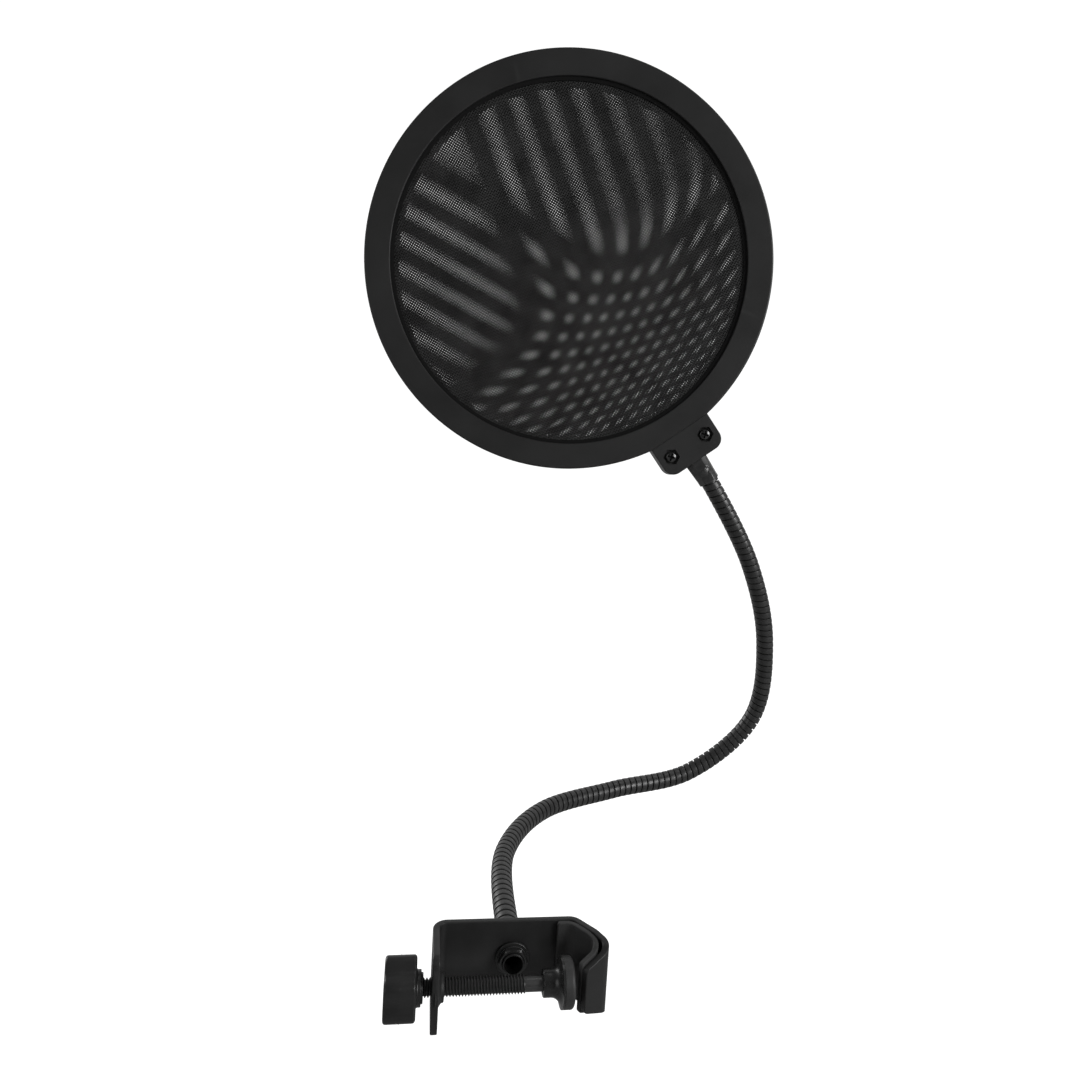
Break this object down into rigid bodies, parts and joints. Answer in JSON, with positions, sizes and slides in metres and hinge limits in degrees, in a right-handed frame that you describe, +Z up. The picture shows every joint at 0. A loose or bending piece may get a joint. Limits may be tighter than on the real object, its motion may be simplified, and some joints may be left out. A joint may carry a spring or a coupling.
{
  "type": "pop filter",
  "caption": "Round double-mesh microphone pop filter on a bendable gooseneck, with a thumbscrew jaw clamp for a stand tube.",
  "frame": {"origin": "on the lower edge of the clamp bracket's web, in the middle of its thickness, under the gooseneck's stud", "axes": "+X along the thumbscrew towards the V jaw, +Y through the web and out to the gooseneck, +Z up along the stand tube that the clamp holds"},
  "size_m": [0.1754, 0.1334, 0.3003],
  "materials": {
    "hoop_plastic": "satin moulded plastic",
    "nylon_mesh": "woven black nylon",
    "black_paint": "satin powder coat",
    "black_steel": "blackened steel",
    "neck_coil": "black gooseneck coil, satin",
    "spring_wire": "bright spring wire",
    "screw_steel": "bright zinc",
    "cup_metal": "gloss black plated",
    "knob_plastic": "satin moulded plastic",
    "liner_rubber": "matt rubber",
    "pad_rubber": "satin rubber"
  },
  "bodies": {
    "clamp": {"bracket": "black_paint", "jaw_liner": "liner_rubber"},
    "pad_carriage": {"swivel_clip": "screw_steel"},
    "thumbscrew": {"clamp_screw": "black_steel", "knob": "knob_plastic", "knob_cap": "knob_plastic"},
    "pad": {"pad_cup": "cup_metal", "pad_face": "pad_rubber"},
    "neck_1": {"neck_base_ferrule": "black_steel", "stud_washer": "black_steel", "stud_lock_washer": "screw_steel", "stud_nut": "black_steel", "neck_coil_1": "neck_coil", "neck_spring_1": "spring_wire"},
    "neck_2": {"neck_coil_2": "neck_coil", "neck_spring_2": "spring_wire"},
    "neck_3": {"neck_coil_3": "neck_coil", "neck_spring_3": "spring_wire"},
    "neck_4": {"neck_coil_4": "neck_coil", "neck_spring_4": "spring_wire"},
    "neck_5": {"neck_coil_5": "neck_coil", "neck_spring_5": "spring_wire"},
    "neck_6": {"neck_coil_6": "neck_coil", "neck_spring_6": "spring_wire"},
    "neck_7": {"neck_coil_7": "neck_coil", "neck_spring_7": "spring_wire"},
    "filter_head": {"neck_coil_8": "neck_coil", "neck_spring_8": "spring_wire", "top_ferrule": "black_steel", "front_ring": "hoop_plastic", "rear_ring": "hoop_plastic", "mesh_spacer": "hoop_plastic", "front_mesh": "nylon_mesh", "rear_mesh": "nylon_mesh", "tab_screw_left": "screw_steel", "tab_screw_right": "screw_steel", "tab_nut_left": "black_steel", "tab_nut_right": "black_steel"}
  },
  "joints": [
    {"name": "screw_advance", "type": "slide", "parent": "clamp", "child": "pad_carriage", "axis": [1, 0, 0], "range_m": [-0.02085, 0.00041]},
    {"name": "screw_turn", "type": "hinge", "parent": "pad_carriage", "child": "thumbscrew", "pos_m": [-0.0202, -0.012, 0.0105], "axis": [1, 0, 0], "range_deg": [-9360, 180]},
    {"name": "pad_tilt", "type": "hinge", "parent": "pad_carriage", "child": "pad", "pos_m": [0.00915, -0.012, 0.0105], "axis": [0, 0, 1], "range_deg": [-4, 4]},
    {"name": "neck_swivel", "type": "hinge", "parent": "clamp", "child": "neck_1", "pos_m": [0, 0.0009, 0.0105], "axis": [0, 1, 0], "range_deg": [-90, 90], "stiffness_Nm_per_rad": 4},
    {"name": "neck_bend_1", "type": "hinge", "parent": "neck_1", "child": "neck_2", "pos_m": [0.0035, 0.0554, 0.0121], "axis": [0, 0, 1], "range_deg": [-20, 20], "stiffness_Nm_per_rad": 2},
    {"name": "neck_bend_2", "type": "hinge", "parent": "neck_2", "child": "neck_3", "pos_m": [0.0217, 0.0862, 0.0129], "axis": [0.6919, -0.7219, 0], "range_deg": [-20, 20], "stiffness_Nm_per_rad": 2},
    {"name": "neck_bend_3", "type": "hinge", "parent": "neck_3", "child": "neck_4", "pos_m": [0.0532, 0.1031, 0.0137], "axis": [-0.081, -0.029, 0.9963], "range_deg": [-20, 20], "stiffness_Nm_per_rad": 2},
    {"name": "neck_bend_4", "type": "hinge", "parent": "neck_4", "child": "neck_5", "pos_m": [0.0883, 0.1098, 0.019], "axis": [0.082, -0.9966, 0], "range_deg": [-20, 20], "stiffness_Nm_per_rad": 2},
    {"name": "neck_bend_5", "type": "hinge", "parent": "neck_5", "child": "neck_6", "pos_m": [0.1135, 0.1082, 0.0428], "axis": [0.053, 0.9912, 0.121], "range_deg": [-20, 20], "stiffness_Nm_per_rad": 2},
    {"name": "neck_bend_6", "type": "hinge", "parent": "neck_6", "child": "neck_7", "pos_m": [0.1136, 0.1012, 0.0778], "axis": [-0.9854, 0, -0.1701], "range_deg": [-20, 20], "stiffness_Nm_per_rad": 2},
    {"name": "neck_bend_7", "type": "hinge", "parent": "neck_7", "child": "filter_head", "pos_m": [0.1016, 0.0952, 0.1113], "axis": [-0.055, 0.9921, 0.113], "range_deg": [-20, 20], "stiffness_Nm_per_rad": 2}
  ],
  "couplings": [
    {"joint": "screw_advance", "follows": "screw_turn", "m_per_rad": 0.00012732}
  ]
}
